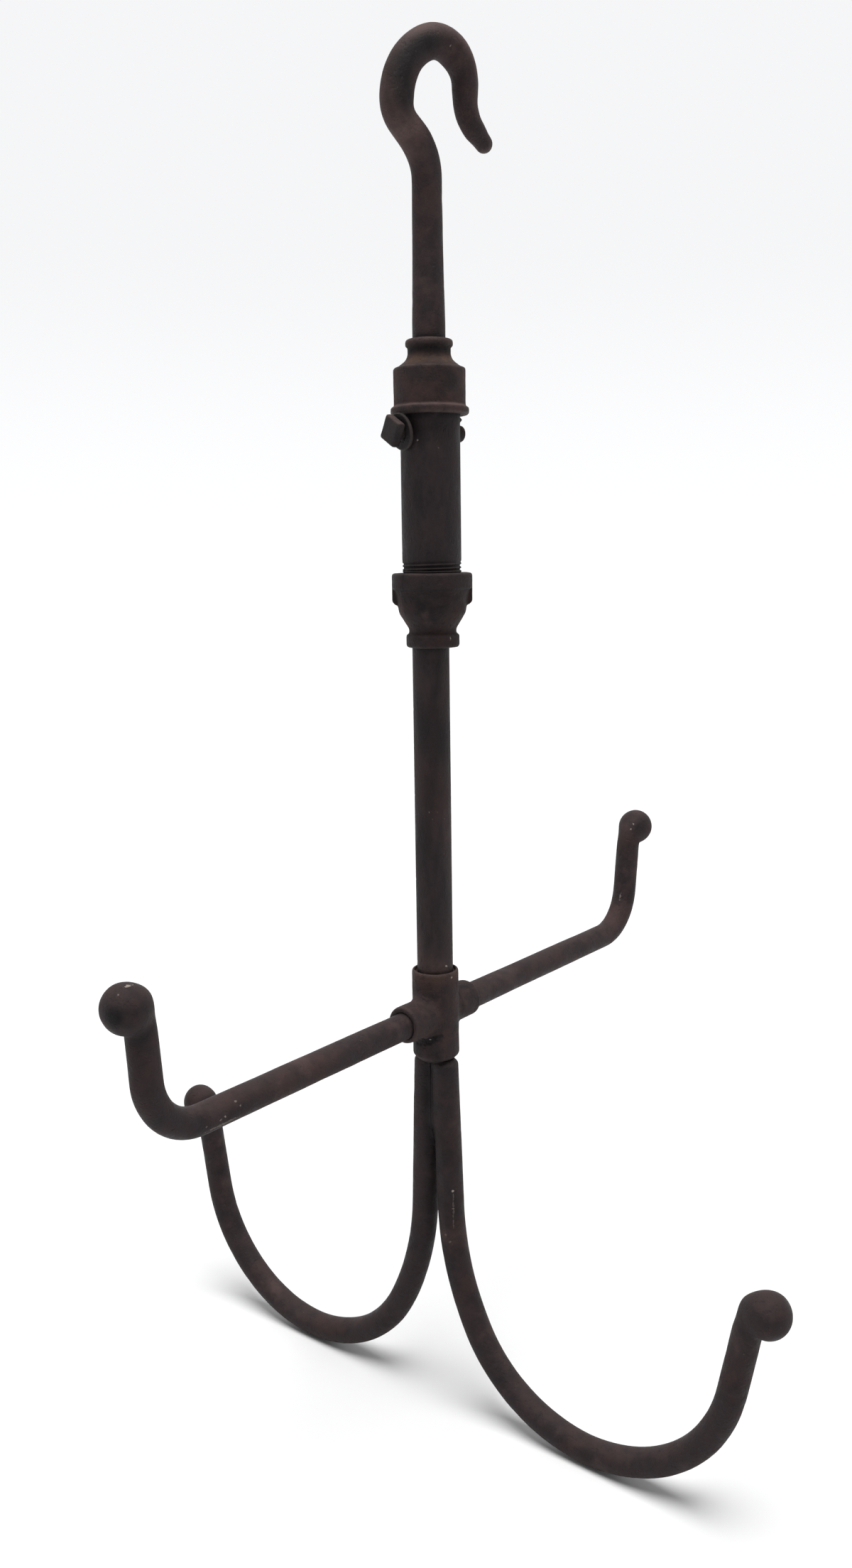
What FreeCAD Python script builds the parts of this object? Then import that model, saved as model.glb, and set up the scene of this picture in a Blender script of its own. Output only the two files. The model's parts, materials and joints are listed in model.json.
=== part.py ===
import FreeCAD, Part
import math
import os

# Hanging tack hook: a swivelling top hook carries a pipe stem with two level
# upper arms and two drooping lower arms. Millimetres, +Z up.
# The origin is the spot inside the crown of the top hook that lies on the
# swivel axis. The swivel axis is Z, the upper arms lie along X and the lower
# arms along Y. The reducer is tapped off centre, so the stem and everything
# under it stand a little to one side of the swivel axis.

Vec = FreeCAD.Vector
UP = Vec(0, 0, 1)
ORIGIN = Vec(0, 0, 0)

# ---- trade sizes ----
barrel_r = 33.4 / 2             # 1 inch iron pipe
barrel_bore_r = 26.6 / 2
stem_r = 21.34 / 2              # 1/2 inch iron pipe
stem_bore_r = 15.8 / 2
bar_r = 15.9 / 2                # 5/8 inch round bar
lower_bar_r = 8.1               # the lower bars are a little upset
nut_thread_r = 12.7 / 2         # 1/2 inch thread
nut_flats = 19.05
nut_height = 11.1
bolt_r = 9.5 / 2                # 3/8 inch bolt
bolt_hole_r = 10.0 / 2
head_flats = 14.0
head_height = 5.0

# ---- stem axis ----
stem_shift = 1.25               # from the swivel axis
stem_shift_turn = 128.0

# ---- top hook ----
hook_turn = -13.3               # rest direction of the hook's tip about Z
crown_r = 18.3                  # tight side of the crown, over the tip
crown_back_r = 36.3             # slack side of the crown, over the shank
crown_back_turn = 66.0
crown_bar_r = 9.0
crown_back_bar_r = 9.2
crown_offset = 10.1             # top of the crown ahead of the swivel axis
tip_drop = 7.1                  # straight below the crown, tip side
tip_turn = 49.2
tip_turn_r = 19.8
tip_length = 8.6
tip_r = 4.8
throat_bend = 49.6              # S-bend between shank and crown
throat_lower_r = 27.9
throat_upper_r = 13.4
shank_waist_r = 8.25
shank_foot_r = 9.1
shank_plain = 8.0               # full size above the cap, then the taper
shank_taper = 45.0
section_step = 2.5              # spacing of the forged sections

# ---- swivel cap ----
cap_top = -140.0
cap_height = 40.4
cap_lip_r = 21.8
cap_lip_height = 4.1
cap_body_r = 20.0
cap_body_top = 24.9             # above the cap's lower face
cap_flare_r = 17.6
cap_flare_top = 25.7
cap_neck_r = 11.9
cap_neck_low = 30.0
cap_neck_high = 36.3
cap_ring_r = 13.1
cap_bore_r = 9.5
cap_shoulder = 24.5             # inner bearing shoulder
cap_relief_r = 15.2
cap_thread_depth = 20.5

# ---- swivel parts inside the cap and barrel ----
swivel_gap = 0.3
thrust_washer_r = 13.2
thrust_washer_thick = 2.5
shank_end_length = 25.5         # threaded end below the hook's shoulder
cotter_drop = 18.6              # cotter pin below the hook's shoulder
cotter_r = 1.5
cotter_hole_r = 1.7
cotter_eye_r = 2.0
cotter_wire_r = 0.8
cotter_half = 8.2
cotter_leg = 4.5

# ---- reducer, stem and barrel ----
reducer_top = -266.7
reducer_height = 42.0
reducer_band_r = 22.9
reducer_band_low = 33.1         # heights above the reducer's lower face
reducer_step_r = 21.2
reducer_bowl_r = 18.9
reducer_bowl_low = 19.3
reducer_neck_r = 13.45
reducer_neck_high = 10.6
reducer_neck_low = 8.0
reducer_foot_r = 15.2
reducer_foot_high = 7.2
reducer_socket = 16.0           # thread depth at each end
reducer_wall = 3.6
rib_turn = -52.0
rib_width = 6.0
rib_bottom = 24.0
rib_chamfer = 2.0
thread_pitch = 2.2              # 11.5 threads to the inch
thread_depth = 0.9
barrel_turns = 3                # bare turns above the reducer

# ---- cross bolt ----
bolt_drop = 9.3                 # bolt axis below the cap
bolt_turn = 165.0               # direction the bolt head points about Z
head_turn = 46.0
head_seat = 23.15               # underside of the head from the swivel axis
head_round = 1.2
bolt_end = 22.0                 # far end of the bolt from the swivel axis
bolt_end_round = 0.8
washer_r = 10.2
washer_hole_r = 5.5
washer_thick = 1.8
washer_tilt = 12.5              # it leans against the lip of the cap
washer_seat = 19.35             # centre of its inner face from the axis

# ---- cross fitting ----
cross_centre = -527.3
cross_half_height = 27.5
cross_r = 13.9
cross_round = 1.6
cross_socket = 14.0
cross_recess_r = 12.3
cross_recess_depth = 2.6
cross_foot_chamfer = 2.4
collar_r = 11.0
collar_reach = 31.5
collar_round = 1.6
collar_lift = 0.6               # cast a little above the arms' centre line
collar_blend = 6.0
arm_start = 14.0                # inner end of each upper arm from the axis
cavity_r = 8.6

# ---- plug under the cross ----
plug_shoulder = 28.6            # below the cross centre
plug_wall_top = 13.5

# ---- upper arms: reach, bend angle, upright, ball centre out and up, ball radius ----
upper_bend_r = 32.0
upper_left = (189.3, 85.9, 41.2, 5.9, -2.0, 13.0)
upper_right = (194.0, 82.5, 40.0, 8.9, 4.5, 12.4)

# ---- lower arms: inner turn, last straight length, ball centre out and up, ball radius ----
lower_offset = 6.5              # bar centre from the swivel axis at the plug
lower_splay = 2.1               # degrees
lower_straight = 94.9
lower_wide_r = 172.0
lower_wide_turn = 26.0
lower_inner_r = 88.3
lower_outer_r = 91.2
lower_outer_turn = 65.2
lower_near = (75.5, 54.3, 7.9, -1.1, 13.0)
lower_far = (76.9, 62.1, 5.8, -3.9, 12.1)
lower_shoulder_round = 3.0
web_half = 6.2                  # forge-welded web between the lower bars
web_deep = 7.0
web_lead = 1.6                  # below the bars' shoulders
web_full = 40.0
web_end = 56.0
web_tip_half = 2.0


def polar(angle, radius, z):
    a = math.radians(angle)
    return Vec(radius * math.cos(a), radius * math.sin(a), z)


def rounded_wire(corners):
    """Closed wire in the XZ plane; each corner is (r, z, rounding)."""
    edges = []
    joints = []
    count = len(corners)
    for i in range(count):
        here = Vec(corners[i][0], 0, corners[i][1])
        before = Vec(corners[i - 1][0], 0, corners[i - 1][1])
        after = Vec(corners[(i + 1) % count][0], 0, corners[(i + 1) % count][1])
        size = corners[i][2]
        if size == 0:
            joints.append((here, here))
            continue
        back = (before - here).normalize()
        ahead = (after - here).normalize()
        half = back.getAngle(ahead) / 2
        reach = size / math.tan(half)
        first = here + back * reach
        last = here + ahead * reach
        middle = here + (back + ahead).normalize() * (size / math.sin(half) - size)
        edges.append(Part.Arc(first, middle, last).toShape())
        joints.append((first, last))
    for i in range(count):
        start = joints[i - 1][1]
        end = joints[i][0]
        edges.append(Part.makeLine(start, end))
    return Part.Wire(Part.__sortEdges__(edges))


def turned(corners):
    """Solid of revolution about Z from a rounded profile."""
    return Part.Face(rounded_wire(corners)).revolve(ORIGIN, UP, 360)


def path_points(u, z, heading, steps):
    """Corner states (u, z, heading) along lines and arcs in an upright plane."""
    states = [(u, z, heading)]
    for step in steps:
        u, z, heading = states[-1]
        a = math.radians(heading)
        if step[0] == "line":
            states.append((u + step[1] * math.cos(a), z + step[1] * math.sin(a), heading))
            continue
        side = 1 if step[2] > 0 else -1
        cu = u - side * step[1] * math.sin(a)
        cz = z + side * step[1] * math.cos(a)
        b = a + math.radians(step[2])
        u = cu + side * step[1] * math.sin(b)
        z = cz - side * step[1] * math.cos(b)
        states.append((u, z, heading + step[2]))
    return states


def bent_bar(azimuth, states, steps, radius):
    """Round bar along the path: cylinders for lines, torus parts for arcs."""
    solid = None
    for state, step in zip(states, steps):
        u, z, heading = state
        a = math.radians(heading)
        start = polar(azimuth, u, z)
        ahead = polar(azimuth, math.cos(a), math.sin(a))
        if step[0] == "line":
            piece = Part.makeCylinder(radius, step[1], start, ahead)
        else:
            side = 1 if step[2] > 0 else -1
            cu = u - side * step[1] * math.sin(a)
            cz = z + side * step[1] * math.cos(a)
            disc = Part.Face(Part.Wire(Part.makeCircle(radius, start, ahead)))
            axis = polar(azimuth, 1, 0).cross(UP)
            piece = disc.revolve(polar(azimuth, cu, cz), axis, step[2])
        solid = piece if solid is None else solid.fuse(piece)
    return solid.removeSplitter()


def stem_axis():
    return polar(stem_shift_turn, stem_shift, 0)


def with_knob(bar, radius, azimuth, end, out, up, ball_r):
    """Rounded bar end with the forged ball turned over to the outside."""
    u, z, heading = end
    cap = Part.makeSphere(radius, polar(azimuth, u, z))
    ball = Part.makeSphere(ball_r, polar(azimuth, u + out, z + up))
    return bar.fuse([cap, ball]).removeSplitter()


def crown_back_shift():
    """How far the stem side of the crown stands behind the swivel axis."""
    turn = math.cos(math.radians(crown_back_turn))
    return crown_back_r * (1 - turn) + crown_r * turn - crown_offset


def hook_steps():
    diagonal = math.cos(math.radians(throat_bend))
    curves = (throat_lower_r + throat_upper_r) * (1 - diagonal)
    slant = (crown_back_shift() - curves) / diagonal
    return [
        ("arc", throat_lower_r, throat_bend),
        ("line", slant),
        ("arc", throat_upper_r, -throat_bend),
        ("arc", crown_back_r, -crown_back_turn),
        ("arc", crown_r, crown_back_turn - 180.0),
        ("line", tip_drop),
        ("arc", tip_turn_r, tip_turn),
        ("line", tip_length),
    ]


def bend_start_z():
    """Start of the S-bend, so that the crown's inside meets the axis at z = 0."""
    turn = math.radians(crown_back_turn)
    centre_u = crown_back_r - crown_back_shift()
    inner = crown_back_r - crown_back_bar_r
    crown_start = -math.sqrt(inner ** 2 - centre_u ** 2)
    diagonal = math.sin(math.radians(throat_bend))
    rise = (throat_lower_r + throat_upper_r + hook_steps()[1][1]) * diagonal
    return crown_start - rise


def hook_shoulder_z():
    return cap_top - cap_height + cap_shoulder - swivel_gap


def walk(state, step, spacing):
    """Intermediate states along one step of a path."""
    length = step[1] if step[0] == "line" else step[1] * math.radians(abs(step[2]))
    count = max(1, round(length / spacing))
    for i in range(1, count + 1):
        if step[0] == "line":
            part = ("line", step[1] * i / count)
        else:
            part = ("arc", step[1], step[2] * i / count)
        yield path_points(*state, [part])[-1], length * i / count


def forged_radius(share):
    """Bar radius along the bent part of the hook, 0 at the shank, 1 at the tip."""
    stations = [
        (0.00, shank_waist_r),
        (0.13, 8.6),
        (0.20, 8.4),
        (0.30, crown_back_bar_r),
        (0.50, crown_bar_r),
        (0.65, 8.8),
        (0.78, 7.3),
        (0.87, 6.6),
        (0.93, 6.1),
        (1.00, tip_r),
    ]
    for (a, ra), (b, rb) in zip(stations, stations[1:]):
        if share <= b:
            t = (share - a) / (b - a)
            return ra + (rb - ra) * (3 - 2 * t) * t * t
    return tip_r


def ring(azimuth, state, radius):
    """Circle across the path, its seam always on the same side of the hook."""
    u, z, heading = state
    a = math.radians(heading)
    ahead = polar(azimuth, math.cos(a), math.sin(a))
    side = polar(azimuth - 90.0, 1, 0)
    circle = Part.makeCircle(radius)
    turn = FreeCAD.Rotation(side, ahead.cross(side), ahead, "ZXY")
    circle.Placement = FreeCAD.Placement(polar(azimuth, u, z), turn)
    return Part.Wire(circle)


def forged_bend():
    """S-bend, crown and out-turned tip as one forged bar."""
    steps = hook_steps()
    states = path_points(0, bend_start_z(), 90.0, steps)
    marks = [(states[0], 0.0)]
    travelled = 0
    for state, step in zip(states, steps):
        for mark, along in walk(state, step, section_step):
            marks.append((mark, travelled + along))
        travelled += along
    rings = [ring(hook_turn, m, forged_radius(s / travelled)) for m, s in marks]
    u, z, heading = states[-1]
    tip = Part.makeSphere(tip_r, polar(hook_turn, u, z))
    return Part.makeLoft(rings, True, True).fuse(tip)


def hook_shank():
    """Round shank, drawn down to a waist between the cap and the bend."""
    foot = hook_shoulder_z()
    neck = cap_top + shank_plain
    waist = neck + shank_taper
    return turned([
        (0, foot, 0),
        (shank_foot_r, foot, 0.4),
        (shank_foot_r, neck, 60.0),
        (shank_waist_r, waist, 60.0),
        (shank_waist_r, bend_start_z(), 0),
        (0, bend_start_z(), 0),
    ])


def top_hook():
    body = hook_shank().fuse(forged_bend())
    foot = hook_shoulder_z()
    end = Part.makeCylinder(nut_thread_r, shank_end_length, Vec(0, 0, foot), -UP)
    hole = Part.makeCylinder(cotter_hole_r, 4 * nut_thread_r,
                             Vec(-2 * nut_thread_r, 0, foot - cotter_drop), Vec(1, 0, 0))
    return body.fuse(end).cut(hole)


def thrust_washer():
    top = hook_shoulder_z()
    low = top - thrust_washer_thick
    return turned([
        (nut_thread_r, low, 0),
        (thrust_washer_r, low, 0.5),
        (thrust_washer_r, top, 0.5),
        (nut_thread_r, top, 0),
    ])


def prism(sides, flats, height, base, turn):
    """Regular prism on +Z with the given distance across flats."""
    corner = flats / 2 / math.cos(math.pi / sides)
    points = [polar(turn + 360.0 * i / sides, corner, 0) for i in range(sides + 1)]
    solid = Part.Face(Part.makePolygon(points)).extrude(Vec(0, 0, height))
    solid.translate(base)
    return solid


def swivel_nut():
    top = hook_shoulder_z() - thrust_washer_thick
    block = prism(6, nut_flats, -nut_height, Vec(0, 0, top), 0)
    corner = nut_flats / 2 / math.cos(math.pi / 6)
    dome = turned([
        (0, top, 0),
        (corner - 0.6, top, 0),
        (corner + 0.4, top - 0.8, 0),
        (corner + 0.4, top - nut_height + 1.4, 0),
        (corner - 1.6, top - nut_height, 0),
        (0, top - nut_height, 0),
    ])
    bore = Part.makeCylinder(nut_thread_r, nut_height, Vec(0, 0, top), -UP)
    return block.common(dome).cut(bore)


def cotter_pin():
    z = hook_shoulder_z() - cotter_drop
    along = Vec(1, 0, 0)
    pin = Part.makeCylinder(cotter_r, 2 * cotter_half, Vec(-cotter_half, 0, z), along)
    eye_x = cotter_half + cotter_eye_r
    eye = Part.makeTorus(cotter_eye_r, cotter_wire_r, Vec(eye_x, 0, z), Vec(0, 1, 0))
    leg_x = -cotter_half + cotter_wire_r
    legs = [Part.makeCylinder(cotter_wire_r, cotter_leg, Vec(leg_x, 0, z), side)
            for side in (UP, -UP)]
    return pin.fuse([eye] + legs)


def swivel_cap():
    low = cap_top - cap_height
    return turned([
        (barrel_r, low, 0),
        (cap_lip_r, low, 1.6),
        (cap_lip_r, low + cap_lip_height, 1.6),
        (cap_body_r, low + cap_lip_height + 0.6, 0.5),
        (cap_body_r, low + cap_body_top, 1.3),
        (cap_flare_r, low + cap_flare_top, 0.6),
        (cap_neck_r, low + cap_neck_low, 7.0),
        (cap_neck_r, low + cap_neck_high, 0.7),
        (cap_ring_r, low + cap_neck_high + 0.2, 0.9),
        (cap_ring_r, cap_top, 1.7),
        (cap_bore_r, cap_top, 0.4),
        (cap_bore_r, low + cap_shoulder, 0),
        (cap_relief_r, low + cap_shoulder, 1.5),
        (cap_relief_r, low + cap_thread_depth, 0),
        (barrel_r, low + cap_thread_depth, 0),
    ])


def bolt_z():
    return cap_top - cap_height - bolt_drop


def reducer_low():
    return reducer_top - reducer_height


def thread_profile(high, turns):
    """Outline points of V-grooves cut downwards from a height."""
    points = []
    for i in range(turns):
        z = high - i * thread_pitch
        points.append((barrel_r, z, 0))
        points.append((barrel_r - thread_depth, z - thread_pitch / 2, 0))
    points.append((barrel_r, high - turns * thread_pitch, 0))
    return points


def barrel_pipe():
    top = cap_top - cap_height + cap_thread_depth - 0.5
    low = reducer_top - reducer_socket + 0.5
    turns_top = reducer_top + barrel_turns * thread_pitch + 1.0
    profile = [(barrel_bore_r, low, 0), (barrel_bore_r, top, 0), (barrel_r, top, 0)]
    profile += thread_profile(turns_top, barrel_turns)
    profile.append((barrel_r, low, 0))
    pipe = turned(profile)
    along = polar(bolt_turn, 1, 0)
    start = polar(bolt_turn, -2 * barrel_r, bolt_z())
    return pipe.cut(Part.makeCylinder(bolt_hole_r, 4 * barrel_r, start, along))


def cross_bolt():
    along = polar(bolt_turn, 1, 0)
    axis_turn = FreeCAD.Rotation(UP, along)
    head = prism(4, head_flats, head_height, ORIGIN, 45.0 + head_turn)
    head = head.makeFillet(head_round, head.Edges)
    length = bolt_end + head_seat
    shank = Part.makeCylinder(bolt_r, length, Vec(0, 0, -length), UP)
    shank = shank.makeFillet(bolt_end_round, [e for e in shank.Edges
                                              if e.CenterOfMass.z < -length + bolt_r
                                              and isinstance(e.Curve, Part.Circle)])
    bolt = head.fuse(shank)
    bolt.Placement = FreeCAD.Placement(polar(bolt_turn, head_seat, bolt_z()), axis_turn)
    return bolt


def bolt_washer():
    disc = turned([
        (washer_hole_r, 0, 0),
        (washer_r, 0, 0.4),
        (washer_r, washer_thick, 0.6),
        (washer_hole_r, washer_thick, 0.3),
    ])
    tilt = math.radians(washer_tilt)
    facing = polar(bolt_turn, math.cos(tilt), -math.sin(tilt))
    seat = polar(bolt_turn, washer_seat, bolt_z())
    disc.Placement = FreeCAD.Placement(seat, FreeCAD.Rotation(UP, facing))
    return disc


def reducer_rib(side):
    low = reducer_low()
    high = low + reducer_band_low + 1.0
    rib = Part.makeBox(reducer_band_r - reducer_neck_r, rib_width, high - low - rib_bottom,
                       Vec(reducer_neck_r, -rib_width / 2, low + rib_bottom))
    tips = [e for e in rib.Edges if e.CenterOfMass.z < low + rib_bottom + 0.1
            and e.CenterOfMass.x > reducer_band_r - 0.1]
    rib = rib.makeChamfer(rib_chamfer, tips)
    rim = Part.makeCylinder(reducer_band_r, reducer_height, Vec(0, 0, low))
    rib = rib.common(rim)
    rib.rotate(ORIGIN, UP, rib_turn + side)
    return rib


def bell_reducer():
    low = reducer_low()
    shell = turned([
        (0, low, 0),
        (reducer_foot_r, low, 1.6),
        (reducer_foot_r, low + reducer_foot_high, 1.2),
        (reducer_neck_r, low + reducer_neck_low, 0.5),
        (reducer_neck_r, low + reducer_neck_high, 3.0),
        (reducer_bowl_r, low + reducer_bowl_low, 8.0),
        (reducer_step_r, low + reducer_band_low - 0.7, 0),
        (reducer_band_r, low + reducer_band_low, 0.3),
        (reducer_band_r, reducer_top, 1.5),
        (0, reducer_top, 0),
    ])
    tapping = Part.makeCylinder(stem_r, reducer_foot_high + 3.0,
                                stem_axis() + Vec(0, 0, low))
    hollow = turned([
        (0, low, 0),
        (stem_bore_r, low, 0),
        (stem_bore_r + 1.0, low + reducer_neck_high + 1.5, 0),
        (reducer_bowl_r - reducer_wall, low + reducer_bowl_low + 1.0, 3.0),
        (reducer_bowl_r - reducer_wall, reducer_top - reducer_socket, 0),
        (barrel_r, reducer_top - reducer_socket, 0),
        (barrel_r, reducer_top, 0),
        (0, reducer_top, 0),
    ])
    body = shell.fuse([reducer_rib(0), reducer_rib(180.0)])
    return body.cut([hollow, tapping]).removeSplitter()


def stem_pipe():
    low = cross_centre + cross_half_height - cross_socket + 0.5
    top = reducer_low() + reducer_foot_high + 2.5
    return turned([
        (stem_bore_r, low, 0),
        (stem_r, low, 0),
        (stem_r, top, 0),
        (stem_bore_r, top, 0),
    ])


def cross_fitting():
    low = cross_centre - cross_half_height
    top = cross_centre + cross_half_height
    run = turned([
        (0, low, 0),
        (cross_r - cross_foot_chamfer, low, 0.8),
        (cross_r, low + cross_foot_chamfer, 1.6),
        (cross_r, top, cross_round),
        (0, top, 0),
    ])
    middle = cross_centre + collar_lift
    collars = Part.makeCylinder(collar_r, 2 * collar_reach,
                                Vec(-collar_reach, 0, middle), Vec(1, 0, 0))
    rims = [e for e in collars.Edges if abs(e.CenterOfMass.x) > collar_reach - 0.1]
    body = run.fuse(collars.makeFillet(collar_round, rims))
    seams = [e for e in body.Edges if abs(e.CenterOfMass.x) < cross_r
             and abs(e.CenterOfMass.z - middle) < collar_r
             and not isinstance(e.Curve, (Part.Circle, Part.Line))]
    body = body.makeFillet(collar_blend, seams)
    cuts = [
        Part.makeCylinder(stem_r, cross_socket, Vec(0, 0, top), -UP),
        Part.makeCylinder(cross_recess_r, cross_recess_depth, Vec(0, 0, top), -UP),
        Part.makeCylinder(stem_r, cross_socket, Vec(0, 0, low), UP),
        Part.makeCylinder(cavity_r, 2 * cross_half_height, Vec(0, 0, low), UP),
        Part.makeCylinder(bar_r, 2 * collar_reach,
                          Vec(-collar_reach, 0, cross_centre), Vec(1, 0, 0)),
    ]
    return body.cut(cuts)


def upper_arm(azimuth, shape):
    reach, bend, upright, out, up, ball_r = shape
    steps = [("line", reach - arm_start), ("arc", upper_bend_r, bend), ("line", upright)]
    states = path_points(arm_start, cross_centre, 0.0, steps)
    bar = bent_bar(azimuth, states, steps, bar_r)
    return with_knob(bar, bar_r, azimuth, states[-1], out, up, ball_r)


def weld_web(azimuth, top):
    """Half of the web that fills the crease between the two lower bars."""
    outline = [
        Vec(-web_half, 0, top - web_lead),
        Vec(web_half, 0, top - web_lead),
        Vec(web_half, 0, top - web_full),
        Vec(web_tip_half, 0, top - web_end),
        Vec(-web_tip_half, 0, top - web_end),
        Vec(-web_half, 0, top - web_full),
        Vec(-web_half, 0, top - web_lead),
    ]
    web = Part.Face(Part.makePolygon(outline)).extrude(Vec(0, web_deep, 0))
    web.rotate(ORIGIN, UP, azimuth - 90.0)
    return web


def lower_arm(azimuth, shape):
    inner_turn, last, out, up, ball_r = shape
    top = cross_centre - plug_shoulder
    spare = 4.0
    slope = math.tan(math.radians(lower_splay))
    steps = [
        ("line", lower_straight + spare),
        ("arc", lower_wide_r, lower_wide_turn),
        ("arc", lower_inner_r, inner_turn),
        ("arc", lower_outer_r, lower_outer_turn),
        ("line", last),
    ]
    states = path_points(lower_offset - spare * slope, top + spare,
                         lower_splay - 90.0, steps)
    bar = bent_bar(azimuth, states, steps, lower_bar_r)
    half = 40.0
    weld = Part.makeBox(2 * half, half, 4 * half, Vec(-half, -half, top - 3 * half))
    weld.rotate(ORIGIN, UP, azimuth - 90.0)
    above = Part.makeBox(2 * half, 2 * half, half, Vec(-half, -half, top))
    bar = bar.cut(above)
    shoulder = [e for e in bar.Edges if abs(e.BoundBox.ZMin - top) < 0.01
                and abs(e.BoundBox.ZMax - top) < 0.01]
    bar = bar.makeFillet(lower_shoulder_round, shoulder).cut(weld)
    bar = bar.fuse(weld_web(azimuth, top)).removeSplitter()
    return with_knob(bar, lower_bar_r, azimuth, states[-1], out, up, ball_r)


def lower_arm_plug():
    low = cross_centre - plug_shoulder
    top = cross_centre - plug_wall_top
    return turned([
        (0, low, 0),
        (stem_r, low, 0),
        (stem_r, top, 0.6),
        (0, top, 0),
    ])


pieces = {
    "top_hook": top_hook(),
    "thrust_washer": thrust_washer(),
    "swivel_nut": swivel_nut(),
    "cotter_pin": cotter_pin(),
    "swivel_cap": swivel_cap(),
    "barrel_pipe": barrel_pipe(),
    "cross_bolt": cross_bolt(),
    "bolt_washer": bolt_washer(),
    "bell_reducer": bell_reducer(),
    "stem_pipe": stem_pipe(),
    "cross_fitting": cross_fitting(),
    "upper_arm_left": upper_arm(180.0, upper_left),
    "upper_arm_right": upper_arm(0.0, upper_right),
    "lower_arm_plug": lower_arm_plug(),
    "lower_arm_near": lower_arm(270.0, lower_near),
    "lower_arm_far": lower_arm(90.0, lower_far),
}

on_stem = ["stem_pipe", "cross_fitting", "upper_arm_left", "upper_arm_right",
           "lower_arm_plug", "lower_arm_near", "lower_arm_far"]
for name in on_stem:
    pieces[name].translate(stem_axis())

os.makedirs("parts", exist_ok=True)
for name, shape in pieces.items():
    box = shape.BoundBox
    print(f"{name}: valid {shape.isValid()} solids {len(shape.Solids)} volume "
          f"{shape.Volume:.1f} z {box.ZMin:.1f}..{box.ZMax:.1f} "
          f"x {box.XMin:.1f}..{box.XMax:.1f} y {box.YMin:.1f}..{box.YMax:.1f}")
    shape.exportStep(f"parts/{name}.step")
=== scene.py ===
import itertools
import json
import math

import bmesh
import bpy
import numpy as np
from mathutils import Euler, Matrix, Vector


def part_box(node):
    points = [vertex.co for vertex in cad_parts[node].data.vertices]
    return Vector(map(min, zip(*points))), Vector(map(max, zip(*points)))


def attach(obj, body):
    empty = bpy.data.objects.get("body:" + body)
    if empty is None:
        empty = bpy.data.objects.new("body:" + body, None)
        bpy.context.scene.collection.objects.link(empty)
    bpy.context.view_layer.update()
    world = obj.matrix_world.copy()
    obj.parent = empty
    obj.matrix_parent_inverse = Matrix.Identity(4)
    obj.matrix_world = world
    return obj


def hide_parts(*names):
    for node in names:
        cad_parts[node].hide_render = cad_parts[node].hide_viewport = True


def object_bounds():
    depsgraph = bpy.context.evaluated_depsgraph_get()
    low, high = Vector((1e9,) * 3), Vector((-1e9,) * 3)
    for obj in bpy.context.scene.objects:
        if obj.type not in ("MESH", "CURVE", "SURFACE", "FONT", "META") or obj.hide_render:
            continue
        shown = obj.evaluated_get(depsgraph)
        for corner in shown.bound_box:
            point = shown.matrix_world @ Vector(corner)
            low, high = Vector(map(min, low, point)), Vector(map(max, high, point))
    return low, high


# Looks of the hanging tack hook. Metres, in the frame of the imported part:
# the swivel axis is Z, the upper arms lie along X and the lower arms along Y.
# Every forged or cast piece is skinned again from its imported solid, relaxed
# into a worn surface, and given the relief of its process. The barrel is
# built here, because its thread is a real helix.

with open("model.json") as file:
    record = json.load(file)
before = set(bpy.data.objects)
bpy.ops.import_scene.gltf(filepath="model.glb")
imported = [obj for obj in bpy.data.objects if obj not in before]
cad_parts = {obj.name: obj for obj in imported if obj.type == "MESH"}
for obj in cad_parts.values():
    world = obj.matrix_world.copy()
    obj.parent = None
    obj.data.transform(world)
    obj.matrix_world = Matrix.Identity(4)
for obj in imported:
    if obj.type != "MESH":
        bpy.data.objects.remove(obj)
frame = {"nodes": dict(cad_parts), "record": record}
cad_low, cad_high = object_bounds()

# ---- skins ----
WELD = 1e-5                 # vertices nearer than this are one
BAR_VOXEL = 0.0008
CAST_VOXEL = 0.0005
SMALL_VOXEL = 0.00035
TAUBIN_IN = 0.5
TAUBIN_OUT = -0.53
SKIN_ROUNDS = {             # of smoothing that keeps the volume, then of plain smoothing
    "top_hook": (10, 0), "swivel_cap": (5, 1), "bell_reducer": (6, 6),
    "cross_fitting": (12, 3), "stem_pipe": (8, 0), "lower_arm_plug": (4, 0),
    "cross_bolt": (4, 16), "bolt_washer": (3, 0)}

# ---- arms; spans in radii of the knob ----
KNOB_R = {"upper_arm_left": 0.0130, "upper_arm_right": 0.0124,
          "lower_arm_near": 0.0130, "lower_arm_far": 0.0121}
KNOB_REACH = 2.4            # from a knob's centre, within which its bar's end lies
KNOB_JOIN = 0.6             # below a knob's centre, where it joins its bar
KNOB_NEAR = (1.3, 2.0)      # from its centre, over which the smoothing fades
KNOB_ABOVE = (-1.0, -0.3)   # above its centre, over which the smoothing grows
KNOB_INWARD = (-0.45, 0.3)  # inward of its centre, over which the smoothing grows
ARM_ROUNDS = 6
KNOB_ROUNDS = 90            # of smoothing, where the ball meets its bar
KNOB_LAST_ROUNDS = 12       # of smoothing, over the whole knob
LOWER_BAR_LIFT = 0.0008     # closes the lower bars' tops up to the cross

# ---- barrel ----
BARREL_WALL = 0.0034
THREAD_PITCH = 0.0022
THREAD_DEPTH = 0.0009
THREAD_POWER = 0.8          # under 1 the grooves are wider than the crests
THREAD_BARE = 0.0076        # height of bare thread above the reducer
THREAD_FADE = 0.0012        # with one pitch more, the height over which the thread runs out
THREAD_MOUTH = 0.0008       # height of the plain ring at the reducer's mouth
BARREL_SEGMENTS = 180
BARREL_ROW = 0.00022        # row height in the thread
BARREL_PLAIN_ROW = 0.0006   # row height elsewhere
BURR_TURN = -45.0           # degrees about Z, of the burr beside the bolt's end
BURR_RISE = 0.0068          # above the bolt's axis
BURR_HEIGHT = 0.0013
BURR_REACH = 0.0019

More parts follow.
